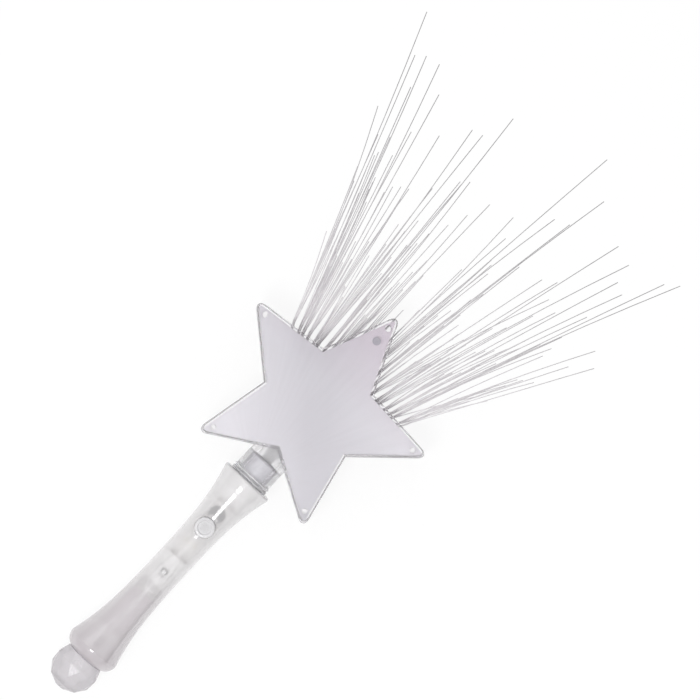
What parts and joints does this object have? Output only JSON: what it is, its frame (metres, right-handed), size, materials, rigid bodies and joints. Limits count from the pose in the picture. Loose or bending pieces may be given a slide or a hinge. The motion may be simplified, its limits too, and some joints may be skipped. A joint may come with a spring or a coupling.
{
  "type": "light-up star wand",
  "caption": "Toy wand that lights up: hourglass handle with a push button, faceted ball, clear neck, hollow star head and a fan of optical fibres.",
  "frame": {"origin": "middle of the bounding box at its underside, with the wand lying on its back", "axes": "+Y along the wand from the ball to the fibre tips, +Z out of the front with the button, +X across the star"},
  "size_m": [0.1784, 0.3632, 0.0277],
  "materials": {
    "frosted_plastic": "frosted, translucent, lightly polished",
    "milky_plastic": "milky, semi-gloss",
    "screw_steel": "zinc plated",
    "white_plastic": "moulded",
    "cell_can": "nickel plated",
    "contact_brass": "stamped",
    "white_wire": "insulated wire",
    "board_laminate": "pale paper laminate",
    "black_epoxy": "cast epoxy",
    "clear_epoxy": "cast clear",
    "clear_plastic": "clear, polished",
    "grey_plastic": "moulded",
    "natural_plastic": "natural, milky",
    "fibre_acrylic": "drawn clear fibre",
    "satin_film": "satin translucent",
    "ball_acrylic": "faceted, polished"
  },
  "bodies": {
    "wand": {"handle_front_shell": "frosted_plastic", "handle_rear_shell": "frosted_plastic", "handle_screws": "screw_steel", "battery_tray": "grey_plastic", "button_cells": "cell_can", "negative_contact": "contact_brass", "positive_contact": "contact_brass", "positive_wire": "white_wire", "negative_wire": "white_wire", "circuit_board": "board_laminate", "chip_blob": "black_epoxy", "resistors": "black_epoxy", "switch_body": "black_epoxy", "led_holder": "white_plastic", "leds": "clear_epoxy", "led_wires": "white_wire", "neck_tube": "clear_plastic", "fibre_collar": "natural_plastic", "fibre_spray": "fibre_acrylic", "star_front_shell": "clear_plastic", "star_back_shell": "clear_plastic", "front_insert": "satin_film", "back_insert": "satin_film", "faceted_ball": "ball_acrylic"},
    "button": {"button_cap": "milky_plastic", "switch_plunger": "white_plastic"},
    "battery_door": {"battery_door": "frosted_plastic", "battery_door_screw": "screw_steel"}
  },
  "joints": [
    {"name": "button_press", "type": "slide", "parent": "wand", "child": "button", "axis": [0, 0, -1], "range_m": [0, 0.0008], "stiffness_N_per_m": 1500},
    {"name": "battery_door_lift", "type": "slide", "parent": "wand", "child": "battery_door", "axis": [0, 0, -1], "range_m": [0, 0.012]}
  ]
}
